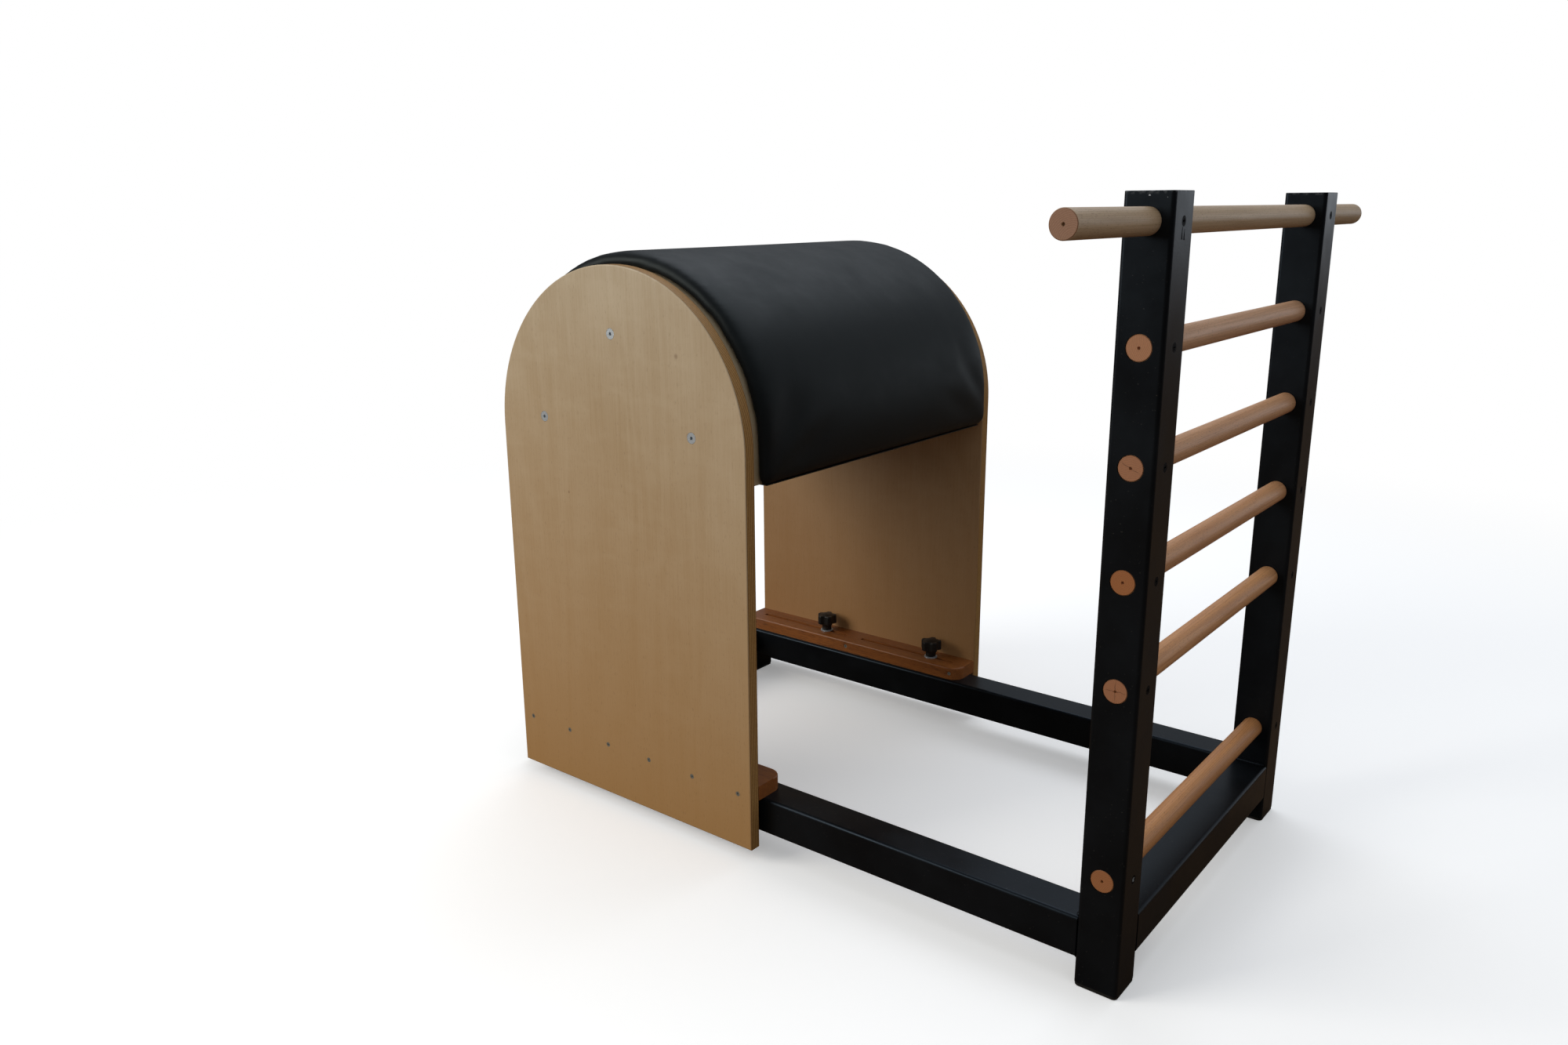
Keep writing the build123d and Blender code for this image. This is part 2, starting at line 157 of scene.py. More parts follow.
# The raw boards get the same painted bounce light towards the foot, in a greyer tone
formerPly = dict(panelPly, name="birchPlywoodRaw", boardStart=formerStart, board=0.018,
                 paintedBounceTone="#9a8057", roughness=0.7, knots=[])
skinPly = dict(formerPly, name="birchPlywoodBent", boardStart=skinRadius - 0.006, board=0.006)


def plywood(look, bent=False):
    material, tree, shader, place = newMaterial(look["name"])
    radius, _, y = fromAxis(tree, place, drumX, drumZ)
    across = radius if bent else sums(tree, "ABSOLUTE", y)
    depth = sums(tree, "SUBTRACT", across, look["boardStart"])
    layer = sums(tree, "DIVIDE", depth, look["ply"])
    lastLayer = look["board"] / look["ply"] - 1
    inner = sums(tree, "GREATER_THAN", layer, 0.999)
    outer = sums(tree, "LESS_THAN", layer, lastLayer)
    core = sums(tree, "MULTIPLY", inner, outer)  # 1 in the plies under the face veneers

    # Upright figure of the face veneer, 3 mm streaks over wide soft bands
    warp = noiseOf(tree, scaled(tree, place, 3, 12, 2.2), detail=2)
    bands = noiseOf(tree, scaled(tree, place, 5.5, 25, 1.1), detail=1.5, distortion=0.6)
    rings = sums(tree, "SINE", sums(tree, "MULTIPLY", bands, 55.0))
    streaks = noiseOf(tree, scaled(tree, place, 330, 330, 8), detail=3, roughness=0.6)
    fine = noiseOf(tree, scaled(tree, place, 1100, 1100, 45), detail=2)
    flame = noiseOf(tree, scaled(tree, place, 16, 30, 34), detail=2, distortion=0.4)
    tone = sums(tree, "MULTIPLY_ADD", rings, 0.07, 0.42)
    tone = centred(tree, streaks, 0.6, tone)
    tone = centred(tree, fine, 0.3, tone)
    tone = centred(tree, warp, 0.9, tone, clamp=True)
    face = blended(tree, tone, look["faceLight"], look["faceDark"])
    face = blended(tree, ranged(tree, flame, 0.45, 0.85, 0, 0.3), face, look["flame"])
    # Painted bounce light: the faces go darker and more orange towards the foot, standing in for warm light thrown
    # up from the floor
    height = axisOf(tree, place, "Z")
    paintedBounceMask = ranged(tree, height, look["headHeight"], look["footHeight"], 0, look["paintedBounceShare"])
    face = blended(tree, paintedBounceMask, face, look["paintedBounceTone"])
    middle = look["boardStart"] + look["board"] / 2
    hidden = sums(tree, "LESS_THAN", across, middle)
    paintedShadeFace = blended(tree, look["paintedShadeShare"], face, look["paintedShadeTint"], "MULTIPLY")  # painted shade and warm bounce light: the inner faces are darkened towards amber
    face = blended(tree, hidden, face, paintedShadeFace)
    flecks = ranged(tree, noiseOf(tree, scaled(tree, place, 900, 900, 110), detail=1), 0.66, 0.74, 0, 0.3)
    face = blended(tree, flecks, face, look["fleck"])
    for x, z, size in look["knots"]:  # pin knots on the outer face of the right board
        away, _, _ = fromAxis(tree, place, x, z)
        near = ranged(tree, away, size * 4, size * 0.5, 0, 0.5, "SMOOTHSTEP")
        side = sums(tree, "LESS_THAN", y, -middle)
        face = blended(tree, sums(tree, "MULTIPLY", near, side), face, look["knot"])

    # Edge: every other ply shows its end grain, with a thin dark glue line between
    odd = sums(tree, "GREATER_THAN", sums(tree, "PINGPONG", sums(tree, "FLOOR", layer), 1.0), 0.5)
    grit = noiseOf(tree, scaled(tree, place, 260, 700, 260), detail=3, roughness=0.65)
    light = blended(tree, grit, look["edgeLight"], look["edgeDark"])
    edge = blended(tree, odd, light, blended(tree, grit, look["edgeDark"], look["glue"]))
    seam = sums(tree, "LESS_THAN", sums(tree, "PINGPONG", layer, 0.5), 0.09)
    edge = blended(tree, sums(tree, "MULTIPLY", seam, 0.55), edge, look["glue"])
    tree.links.new(blended(tree, core, face, edge), shader.inputs["Base Color"])
    dulled = ranged(tree, core, 0, 1, 0.5, look["edgeSpecular"])  # end grain shines less than the faces
    tree.links.new(dulled, shader.inputs["Specular IOR Level"])
    tree.links.new(ranged(tree, tone, 0.2, 0.8, look["roughness"] - 0.05, look["roughness"] + 0.06),
                   shader.inputs["Roughness"])
    roughened(tree, shader, sums(tree, "ADD", streaks, fine), 0.00006, 0.6)
    return material


finish([side + "panel" for side in both], plywood(panelPly))
finish(["left_former", "right_former", "middle_former"], plywood(formerPly))
finish(["drum_skin"], plywood(skinPly, bent=True))

# Turned beech under satin lacquer: pinkish straw, short dark rays along the grain, rings on the ends.
# Each rung's pith lies in another place, and the side tones go darker and more orange from the top rung down to the
# low rung
rungLooks = {
    "top_rung": {"pith": (0.011, -0.016), "light": "#cfb594", "dark": "#a08463", "end": "#9c7357", "mark": "hole"},
    "rung_2": {"pith": (0.030, 0.012), "light": "#e4b48c", "dark": "#a97c5a", "end": "#b67f58", "mark": "plain"},
    "rung_3": {"pith": (-0.004, 0.028), "light": "#e3ae80", "dark": "#a97751", "end": "#ac7653", "mark": "crack"},
    "rung_4": {"pith": (0.001, 0.002), "light": "#dca676", "dark": "#a87148", "end": "#a8693a", "mark": "hole"},
    "rung_5": {"pith": (-0.018, -0.010), "light": "#dda570", "dark": "#a87045", "end": "#ab7452", "mark": "cross"},
    "low_rung": {"pith": (0.024, -0.020), "light": "#cd935c", "dark": "#966036", "end": "#a76c43", "mark": "plain"},
}
beech = {"ray": "#5d3f29", "ring": "#6e4528", "tool": "#5f3a20", "pore": "#5a3820", "crack": "#3f2516",
         "rim": "#6d4930", "ringsPerMetre": 480.0, "toolTurns": 5200.0, "chamfer": 0.0007,
         "crackReach": (0.015, 0.009), "rimBand": (0.0145, 0.0158), "roughness": (0.42, 0.52)}


def turnedBeech(name, look):
    low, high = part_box(name)
    centreX, centreZ = (low.x + high.x) / 2, (low.z + high.z) / 2
    material, tree, shader, place = newMaterial("turnedBeechLacquered_" + name)
    shifted = addNode(tree, "ShaderNodeVectorMath",
                      {0: place, 1: (look["pith"][0], centreZ * 7, look["pith"][1])}).outputs[0]
    grain = noiseOf(tree, scaled(tree, shifted, 420, 9, 420), detail=4, roughness=0.62)
    wide = noiseOf(tree, scaled(tree, shifted, 60, 2.5, 60), detail=2)
    rays = noiseOf(tree, scaled(tree, shifted, 1500, 190, 1500), detail=1)
    pithAway, _, y = fromAxis(tree, place, centreX + look["pith"][0], centreZ + look["pith"][1])
    wobble = noiseOf(tree, scaled(tree, place, 130, 3, 130), detail=2)
    uneven = sums(tree, "MULTIPLY", wobble, 1.1)
    ring = sums(tree, "FRACT", sums(tree, "MULTIPLY_ADD", pithAway, beech["ringsPerMetre"], uneven))
    late = ranged(tree, ring, 0.35, 0.95, 0, 1, "SMOOTHSTEP")
    tone = sums(tree, "MULTIPLY_ADD", grain, 0.8, sums(tree, "MULTIPLY_ADD", wide, 0.7, -0.3))
    tone = sums(tree, "MULTIPLY_ADD", late, 0.18, tone, clamp=True)
    side = blended(tree, tone, look["light"], look["dark"])
    side = blended(tree, ranged(tree, rays, 0.62, 0.7, 0, 0.5), side, beech["ray"])

    # End grain: rings, fine arcs left by the lathe tool, pores, and the mark of the lathe's centre
    axisAway, _, _ = fromAxis(tree, place, centreX, centreZ)
    end = blended(tree, sums(tree, "MULTIPLY", late, 0.38), look["end"], beech["ring"])
    tool = sums(tree, "SINE", sums(tree, "MULTIPLY", axisAway, beech["toolTurns"]))
    end = blended(tree, ranged(tree, tool, 0.2, 1, 0, 0.16), end, beech["tool"])
    pores = noiseOf(tree, scaled(tree, place, 1500, 300, 1500), detail=1)
    end = blended(tree, ranged(tree, pores, 0.45, 0.75, 0, 0.35), end, beech["pore"])
    bend = sums(tree, "MULTIPLY", sums(tree, "SUBTRACT", wobble, 0.5), 0.004)
    fromX = sums(tree, "ADD", sums(tree, "SUBTRACT", axisOf(tree, place, "X"), centreX), bend)
    fromZ = sums(tree, "ADD", sums(tree, "SUBTRACT", axisOf(tree, place, "Z"), centreZ), bend)
    slope = sums(tree, "ABSOLUTE", sums(tree, "MULTIPLY_ADD", fromX, 0.42, sums(tree, "MULTIPLY", fromZ, 0.9)))
    cross = sums(tree, "MINIMUM", sums(tree, "ABSOLUTE", fromX), sums(tree, "ABSOLUTE", fromZ))
    line = {"crack": slope, "cross": cross}.get(look["mark"])
    if line:
        reach = ranged(tree, axisAway, *beech["crackReach"])
        crack = sums(tree, "MULTIPLY", ranged(tree, line, 0.0005, 0.0001, 0, 0.8), reach)
        end = blended(tree, crack, end, beech["crack"])
    rim = ranged(tree, axisAway, *beech["rimBand"], 0, 0.45)
    end = blended(tree, rim, end, beech["rim"])
    halfSpan = (high.y - low.y) / 2
    onEnd = sums(tree, "GREATER_THAN", sums(tree, "ABSOLUTE", y), halfSpan - beech["chamfer"])
    tree.links.new(blended(tree, onEnd, side, end), shader.inputs["Base Color"])
    tree.links.new(ranged(tree, tone, 0, 1, *beech["roughness"]), shader.inputs["Roughness"])
    lathe = noiseOf(tree, scaled(tree, place, 15, 900, 15), detail=2)
    roughened(tree, shader, sums(tree, "MULTIPLY_ADD", lathe, 0.5, grain), 0.00008, 0.5)
    return material


for rung, rungLook in rungLooks.items():
    finish([rung], turnedBeech(rung, rungLook))

# Black enamel brushed on welded steel tube: hard, semi-gloss, a little orange peel, rubbed thin at the
# posts' top corners. Its reflections carry a cool blue tint, a painted reflection of cool room light
enamel = {"colour": "#0a0b0d", "dust": "#1f2225", "speck": "#55544f", "bare": "#a9acae",
          "roughness": 0.34, "specular": 0.3, "paintedReflectionTint": "#b9d4ee", "rubbedFrom": -0.0015, "rubbedTo": 0.0028,
          "chips": [(0.5527, -0.3275, 1.0151, 0.0017), (0.5735, -0.3275, 1.0125, 0.0013)]}


def paintedSteel(name, look):
    material, tree, shader, place = newMaterial(name)
    shader.inputs["Specular IOR Level"].default_value = look["specular"]
    # Painted reflection: the specular tint turns the enamel's reflections cool blue
    shader.inputs["Specular Tint"].default_value = linearColour(look["paintedReflectionTint"])
    peel = noiseOf(tree, place, 380, detail=1.5)
    cloud = noiseOf(tree, place, 9, detail=4, roughness=0.6)
    specks = noiseOf(tree, place, 520, detail=0)
    colour = blended(tree, ranged(tree, cloud, 0.4, 0.8, 0, 0.3), look["colour"], look["dust"])
    colour = blended(tree, ranged(tree, specks, 0.82, 0.86, 0, 0.4), colour, look["speck"])
    height = axisOf(tree, place, "Z")
    scuffs = ranged(tree, noiseOf(tree, place, 210, detail=3), 0.5, 0.62)
    top = ranged(tree, height, postHigh.z + look["rubbedFrom"], postHigh.z + look["rubbedTo"])
    rubbed = sums(tree, "MULTIPLY", sums(tree, "MULTIPLY", top, scuffs), 0.16)
    colour = blended(tree, rubbed, colour, look["bare"])
    for x, y, z, size in look["chips"]:
        away = addNode(tree, "ShaderNodeVectorMath", {0: place, 1: (x, y, z)}, operation="DISTANCE")
        ragged = sums(tree, "MULTIPLY_ADD", scuffs, 0.0008, away.outputs["Value"])
        colour = blended(tree, ranged(tree, ragged, size, size * 0.7), colour, look["bare"])
    tree.links.new(colour, shader.inputs["Base Color"])
    tree.links.new(ranged(tree, cloud, 0.3, 0.75, look["roughness"] - 0.06, look["roughness"] + 0.1),
                   shader.inputs["Roughness"])
    roughened(tree, shader, peel, 0.00012, 0.35)
    return material


blackEnamel = paintedSteel("blackEnamelOnSteel", enamel)
finish([side + piece for side in both for piece in ("post", "top_plate", "rail", "rear_leg")]
       + ["front_cross_tube", "rear_cross_tube"], blackEnamel)
paintedHeads = paintedSteel("blackEnamelOnScrews", dict(
    enamel, colour="#060607", specular=0.12, roughness=0.6,
    chips=[(postHigh.x, (postLow.y + postHigh.y) / 2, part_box("low_rung")[0].z + 0.016, 0.0034)]))
finish(["rung_screws"], paintedHeads)

# Runners of stained hardwood: red-brown, open straight grain along X, satin lacquer
runnerLook = {"light": "#a2622a", "dark": "#5c2d0f", "pore": "#2c1507", "roughness": 0.42}


def stainedHardwood(name, look):
    material, tree, shader, place = newMaterial(name)
    grain = noiseOf(tree, scaled(tree, place, 10, 420, 420), detail=4, roughness=0.6)
    wide = noiseOf(tree, scaled(tree, place, 3, 60, 60), detail=2)
    pores = noiseOf(tree, scaled(tree, place, 70, 1600, 1600), detail=1)
    tone = sums(tree, "MULTIPLY_ADD", grain, 0.9, sums(tree, "MULTIPLY_ADD", wide, 0.6, -0.3), clamp=True)
    colour = blended(tree, tone, look["light"], look["dark"])
    colour = blended(tree, ranged(tree, pores, 0.58, 0.68, 0, 0.7), colour, look["pore"])
    tree.links.new(colour, shader.inputs["Base Color"])
    shader.inputs["Roughness"].default_value = look["roughness"]
    roughened(tree, shader, sums(tree, "SUBTRACT", grain, pores), 0.0001, 0.5)
    return material


finish([side + piece for side in both for piece in ("inner_strip", "outer_strip", "spacers")],
       stainedHardwood("stainedHardwoodSatin", runnerLook))

# Battens of planed spruce: pale, with brown latewood lines along Y
battenLook = {"light": "#cfae78", "dark": "#a67c47", "pore": "#7d5a30", "roughness": 0.75}


def sawnSoftwood(name, look):
    material, tree, shader, place = newMaterial(name)
    wave = noiseOf(tree, scaled(tree, place, 40, 1.5, 40), detail=2)
    rings = sums(tree, "MULTIPLY", axisOf(tree, place, "X"), 260.0)
    lines = sums(tree, "FRACT", sums(tree, "MULTIPLY_ADD", wave, 9.0, rings))
    grain = noiseOf(tree, scaled(tree, place, 500, 12, 500), detail=3)
    colour = blended(tree, ranged(tree, lines, 0.55, 1, 0, 0.8), look["light"], look["dark"])
    colour = blended(tree, ranged(tree, grain, 0.5, 0.8, 0, 0.4), colour, look["pore"])
    tree.links.new(colour, shader.inputs["Base Color"])
    shader.inputs["Roughness"].default_value = look["roughness"]
    roughened(tree, shader, grain, 0.00015, 0.6)
    return material


finish(["front_batten", "rear_batten"], sawnSoftwood("sawnSpruce", battenLook))

# Moulded nylon knobs and polyethylene plugs: black, faintly grained by the mould's spark-eroded face
mouldedLooks = {
    "mouldedNylonBlack": {"colour": "#141312", "roughness": 0.42, "grain": 1600,
                          "names": [side + end + "_knob" for side in both for end in ("front", "rear")]},
    "mouldedPolyethyleneBlack": {"colour": "#131312", "roughness": 0.55, "grain": 1100,
                                 "names": [side + piece for side in both
                                           for piece in ("front_foot", "rear_foot", "rail_plug")]},
}
mouldedScuff = "#35332f"
for name, look in mouldedLooks.items():
    moulded, tree, shader, place = newMaterial(name)
    texture = noiseOf(tree, place, look["grain"], detail=2)
    scuffed = noiseOf(tree, place, 45, detail=4, roughness=0.65)
    tree.links.new(blended(tree, ranged(tree, scuffed, 0.5, 0.8, 0, 0.35), look["colour"], mouldedScuff),
                   shader.inputs["Base Color"])
    tree.links.new(ranged(tree, scuffed, 0.3, 0.8, look["roughness"] - 0.05, look["roughness"] + 0.15),
                   shader.inputs["Roughness"])
    roughened(tree, shader, texture, 0.00008, 0.5)
    finish(look["names"], moulded)

# Bright zinc plate on steel: pale blue-grey, fine turning marks, a little duller in patches
zinc = {"colour": "#c3cdd4", "dull": "#9aa3aa", "roughness": 0.38, "metallic": 0.6}
screwZinc = {"colour": "#a3a69f", "dull": "#7b7c76", "roughness": 0.45, "metallic": 0.7}


def zincPlate(name, look):
    material, tree, shader, place = newMaterial(name)
    shader.inputs["Metallic"].default_value = look["metallic"]
    patches = noiseOf(tree, place, 260, detail=3, roughness=0.6)
    fine = noiseOf(tree, place, 1900, detail=1)
    tree.links.new(blended(tree, ranged(tree, patches, 0.35, 0.75), look["colour"], look["dull"]),
                   shader.inputs["Base Color"])
    tree.links.new(ranged(tree, patches, 0.3, 0.8, look["roughness"] - 0.08, look["roughness"] + 0.14),
                   shader.inputs["Roughness"])
    roughened(tree, shader, fine, 0.00004, 0.4)
    return material


zincBright = zincPlate("zincPlatedSteel", zinc)
finish(["drum_bolts", "drum_tee_nuts", "clamp_washers", "clamp_nuts"]
       + [side + end + "_stud" for side in both for end in ("front", "rear")], zincBright)
finish(["panel_screws", "runner_screws"], zincPlate("zincPlatedScrews", screwZinc))
print("finished the packed nodes")


def deselectAll():
    if bpy.context.mode != "OBJECT":
        bpy.ops.object.mode_set(mode="OBJECT")
    bpy.ops.object.select_all(action="DESELECT")


def applyModifier(piece, kind, **settings):
    modifier = piece.modifiers.new(kind.title(), kind)
    for name, value in settings.items():
        setattr(modifier, name, value)
    bpy.context.view_layer.objects.active = piece
    bpy.ops.object.modifier_apply(modifier=modifier.name)


def selectOnly(piece):
    deselectAll()
    piece.select_set(True)
    bpy.context.view_layer.objects.active = piece


def settle(piece):  # put a piece's place into its mesh
    piece.data.transform(piece.matrix_world)
    piece.matrix_world = Matrix.Identity(4)


def smoothed(piece, angle=None):  # smooth shading, up to an angle where one is given
    selectOnly(piece)
    if angle is None:
        bpy.ops.object.shade_smooth()
    else:
        bpy.ops.object.shade_smooth_by_angle(angle=angle)


def placed(piece, material, body):  # its material and the body it rides on
    piece.data.materials.append(material)
    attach(piece, body)


def copyPiece(piece, name):
    twin = piece.copy()
    twin.data = piece.data.copy()
    twin.name = name
    bpy.context.scene.collection.objects.link(twin)
    return twin


# Upholstery vinyl: black, semi-matt, finely embossed, pulled taut over foam and puckered at the boards
padLook = {
    "voxel": 0.008, "shrink": 0.0035, "pressure": 4.0, "frames": 20, "cap": 0.0048,
    "edge": 0.3365, "radius": 0.2960, "under": 0.6064, "colour": "#131517", "worn": "#1e2123",
    "roughness": 0.5, "specular": 0.23, "paintedReflectionTint": "#d8ecee",
    "roll": 0.022, "hem": 0.026, "hemPull": 0.05, "glueReach": 0.005, "weld": 0.00002,
    # the reflection tint is a painted pale cyan reflection
    "emboss": 0.0011, "pucker": 0.007, "puckerReach": 0.010,
}


def upholsteryVinyl(look):
    material, tree, shader, place = newMaterial("upholsteryVinylBlack")
    shader.inputs["Specular IOR Level"].default_value = look["specular"]
    # Painted reflection: the specular tint turns the vinyl's reflections pale cyan
    shader.inputs["Specular Tint"].default_value = linearColour(look["paintedReflectionTint"])
    radius, angle, y = fromAxis(tree, place, drumX, drumZ)
    emboss = addNode(tree, "ShaderNodeTexVoronoi", {"Vector": place, "Scale": 1 / look["emboss"]},
                     feature="SMOOTH_F1").outputs["Distance"]
    rub = noiseOf(tree, place, 14, detail=4, roughness=0.6)
    tree.links.new(blended(tree, ranged(tree, rub, 0.45, 0.8, 0, 0.5), look["colour"], look["worn"]),
                   shader.inputs["Base Color"])
    tree.links.new(ranged(tree, rub, 0.3, 0.75, look["roughness"] - 0.04, look["roughness"] + 0.08),
                   shader.inputs["Roughness"])
    # Puckers fan out from the boards: a wave round the drum that fades inwards
    nearBoard = ranged(tree, sums(tree, "ABSOLUTE", y), look["edge"] - look["puckerReach"], look["edge"] - 0.001)
    uneven = noiseOf(tree, place, 30, detail=2)
    phase = sums(tree, "MULTIPLY_ADD", angle, 2 * math.pi * look["radius"] / look["pucker"],
                 sums(tree, "MULTIPLY", uneven, 9.0))
    gather = sums(tree, "MULTIPLY", sums(tree, "SINE", phase), sums(tree, "MULTIPLY", nearBoard, nearBoard))
    fineBump = addNode(tree, "ShaderNodeBump", {"Height": emboss, "Distance": 0.0001, "Strength": 0.35})
    pulled = addNode(tree, "ShaderNodeBump", {"Height": gather, "Distance": 0.0012, "Strength": 0.9,
                                              "Normal": fineBump.outputs["Normal"]})
    tree.links.new(pulled.outputs["Normal"], shader.inputs["Normal"])
    return material


blackVinyl = upholsteryVinyl(padLook)


def roundedIn(away, radius):  # how far a quarter round steps back, this far from its edge
    part = max(0, 1 - max(away, 0) / radius)
    return radius * (1 - math.sqrt(1 - part * part))


def swollenPad(look):
    cover = copyPiece(nodes["foam_pad"], "upholstered_pad")
    cover.parent = None
    for key in list(cover.keys()):
        del cover[key]
    cover.data.materials.clear()
    cover.data.materials.append(blackVinyl)
    selectOnly(cover)
    bpy.ops.object.mode_set(mode="EDIT")
    bpy.ops.mesh.select_all(action="SELECT")
    bpy.ops.mesh.remove_doubles(threshold=look["weld"])
    bpy.ops.object.mode_set(mode="OBJECT")
    applyModifier(cover, "REMESH", mode="VOXEL", voxel_size=look["voxel"], use_smooth_shade=True)
    applyModifier(cover, "SMOOTH", factor=0.5, iterations=6)
    inside = skinRadius + look["glueReach"]

    def radiusOf(point):
        return math.hypot(point.x - drumX, max(point.z - drumZ, 0))

    def pulledTo(point, share):  # nearer the drum's axis, and below it nearer its middle plane
        point.x = drumX + (point.x - drumX) * share
        if point.z > drumZ:
            point.z = drumZ + (point.z - drumZ) * share

    pinned = cover.vertex_groups.new(name="glued")
    for vertex in cover.data.vertices:
        glued = 1.0 if radiusOf(vertex.co) < inside else 0.0
        pinned.add([vertex.index], glued, "REPLACE")
    for vertex in cover.data.vertices:  # it starts a little smaller than the finished pad
        if radiusOf(vertex.co) >= inside:
            vertex.co -= vertex.normal * look["shrink"]
    start = [vertex.co.copy() for vertex in cover.data.vertices]
    cloth = cover.modifiers.new("Cloth", "CLOTH")
    cloth.settings.use_pressure = True
    cloth.settings.uniform_pressure_force = look["pressure"]
    cloth.settings.effector_weights.gravity = 0
    cloth.settings.vertex_group_mass = "glued"
    cloth.settings.quality = 5
    scene = bpy.context.scene
    for step in range(1, look["frames"] + 1):
        scene.frame_set(step)
    bpy.context.view_layer.objects.active = cover
    bpy.ops.object.modifier_apply(modifier="Cloth")
    scene.frame_set(1)
    cover.vertex_groups.clear()
    for vertex, rest in zip(cover.data.vertices, start):
        moved = vertex.co - rest
        if moved.length > 0:  # the swelling levels off at the cap, with no crease
            vertex.co = rest + moved.normalized() * look["cap"] * math.tanh(moved.length / look["cap"])
    applyModifier(cover, "SMOOTH", factor=0.5, iterations=14)
    lowest = min(vertex.co.z for vertex in cover.data.vertices)
    for vertex in cover.data.vertices:  # the hem reaches the laps, and rounds off towards them and the boards
        down = max(0, min(1, (lowest + look["hemPull"] - vertex.co.z) / look["hemPull"]))
        vertex.co.z -= (lowest - look["under"]) * down * down * (3 - 2 * down)
        reach = radiusOf(vertex.co)
        if reach < inside:
            continue
        hemIn = roundedIn(vertex.co.z - look["under"], look["hem"])
        rollIn = roundedIn(look["edge"] - abs(vertex.co.y), look["roll"])
        most = look["radius"] - math.hypot(hemIn, rollIn)
        if reach > most:
            pulledTo(vertex.co, most / reach)
    applyModifier(cover, "SMOOTH", factor=0.5, iterations=2)
    applyModifier(cover, "SUBSURF", levels=1, render_levels=1)
    for vertex in cover.data.vertices:
        vertex.co.y = max(-look["edge"], min(look["edge"], vertex.co.y))
        vertex.co.z = max(look["under"], vertex.co.z)
        reach = radiusOf(vertex.co)
        if reach > look["radius"]:
            pulledTo(vertex.co, look["radius"] / reach)
    smoothed(cover)
    return cover


pad = swollenPad(padLook)
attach(pad, "barrel")
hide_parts("foam_pad", "vinyl_cover")
print("swelled the upholstered pad:", len(pad.data.polygons), "faces")

# The cover's laps, pulled under the battens and stapled there
lapLook = {"inner": 0.2285, "outer": 0.2740, "thick": 0.0014, "width": 0.628, "top": 0.60738,
           "uneven": 0.0012, "unevenReach": 0.012, "creaseAngle": 0.6}


def coverLap(name, side, look):
    deselectAll()
    width = look["outer"] - look["inner"]
    bpy.ops.mesh.primitive_grid_add(x_subdivisions=8, y_subdivisions=90, size=1, location=(0, 0, 0))
    lap = bpy.context.object
    lap.name = name
    lap.scale = (width, look["width"], 1)
    lap.location = (drumX + side * (look["inner"] + look["outer"]) / 2, 0, look["top"])
    bpy.context.view_layer.update()
    settle(lap)
    free = drumX + side * look["inner"]
    for vertex in lap.data.vertices:  # the free edge was cut by hand
        near = 1 - min(1, abs(vertex.co.x - free) / look["unevenReach"])
        wave = 1 + math.sin(vertex.co.y * 61) + 0.6 * math.sin(vertex.co.y * 173)
        vertex.co.x += side * near * look["uneven"] * wave
    applyModifier(lap, "SOLIDIFY", thickness=look["thick"], offset=-1)
    smoothed(lap, look["creaseAngle"])
    placed(lap, blackVinyl, "barrel")


for end, side in (("front", 1), ("rear", -1)):
    coverLap("cover_lap_" + end, side, lapLook)

# Galvanised wire staples through the laps: a crown of flattened wire with rounded ends
stapleLook = {"crown": 0.0105, "wire": 0.0012, "proud": 0.0006, "pitch": 0.025, "count": 25,
              "inset": 0.0235, "lean": 0.22, "drift": 0.0016}
wireZinc = {"colour": "#a9adb0", "dull": "#7e8386", "roughness": 0.4, "metallic": 0.9}
galvanised = zincPlate("galvanisedWire", wireZinc)


def stapleRow(name, side, look):
    deselectAll()
    bpy.ops.mesh.primitive_cube_add(size=1, location=(0, 0, 0))
    staple = bpy.context.object
    staple.scale = (look["wire"], look["crown"], look["proud"] * 2)
    bpy.context.view_layer.update()
    settle(staple)
    bpy.ops.object.mode_set(mode="EDIT")
    bpy.ops.mesh.select_all(action="SELECT")
    bpy.ops.mesh.bevel(offset=look["wire"] * 0.3, segments=2, affect="EDGES")
    bpy.ops.object.mode_set(mode="OBJECT")
    row = []
    x = drumX + side * (skinRadius - look["inset"])
    for number in range(look["count"]):
        twin = copyPiece(staple, f"{name}_{number}")
        y = (number - (look["count"] - 1) / 2) * look["pitch"]
        lean = look["lean"] * math.sin(number * 2.7 + side)
        drift = look["drift"] * math.sin(number * 1.9 + side)
        spot = Matrix.Translation((x + drift, y, lapLook["top"] - lapLook["thick"]))
        twin.data.transform(spot @ Matrix.Rotation(lean, 4, "Z"))
        row.append(twin)
    bpy.data.objects.remove(staple)
    deselectAll()
    for twin in row:
        twin.select_set(True)
    bpy.context.view_layer.objects.active = row[0]
    bpy.ops.object.join()
    joined = bpy.context.object
    joined.name = name
    placed(joined, galvanised, "barrel")


stapleRow("staples_front", 1, stapleLook)
stapleRow("staples_rear", -1, stapleLook)
print("stapled the cover's laps")

# Weld beads between the tubes: a rippled fillet, painted over with the frame
weldLook = {"radius": 0.0036, "length": 0.051, "rings": 20, "ripple": 1.09, "bury": 0.0006}


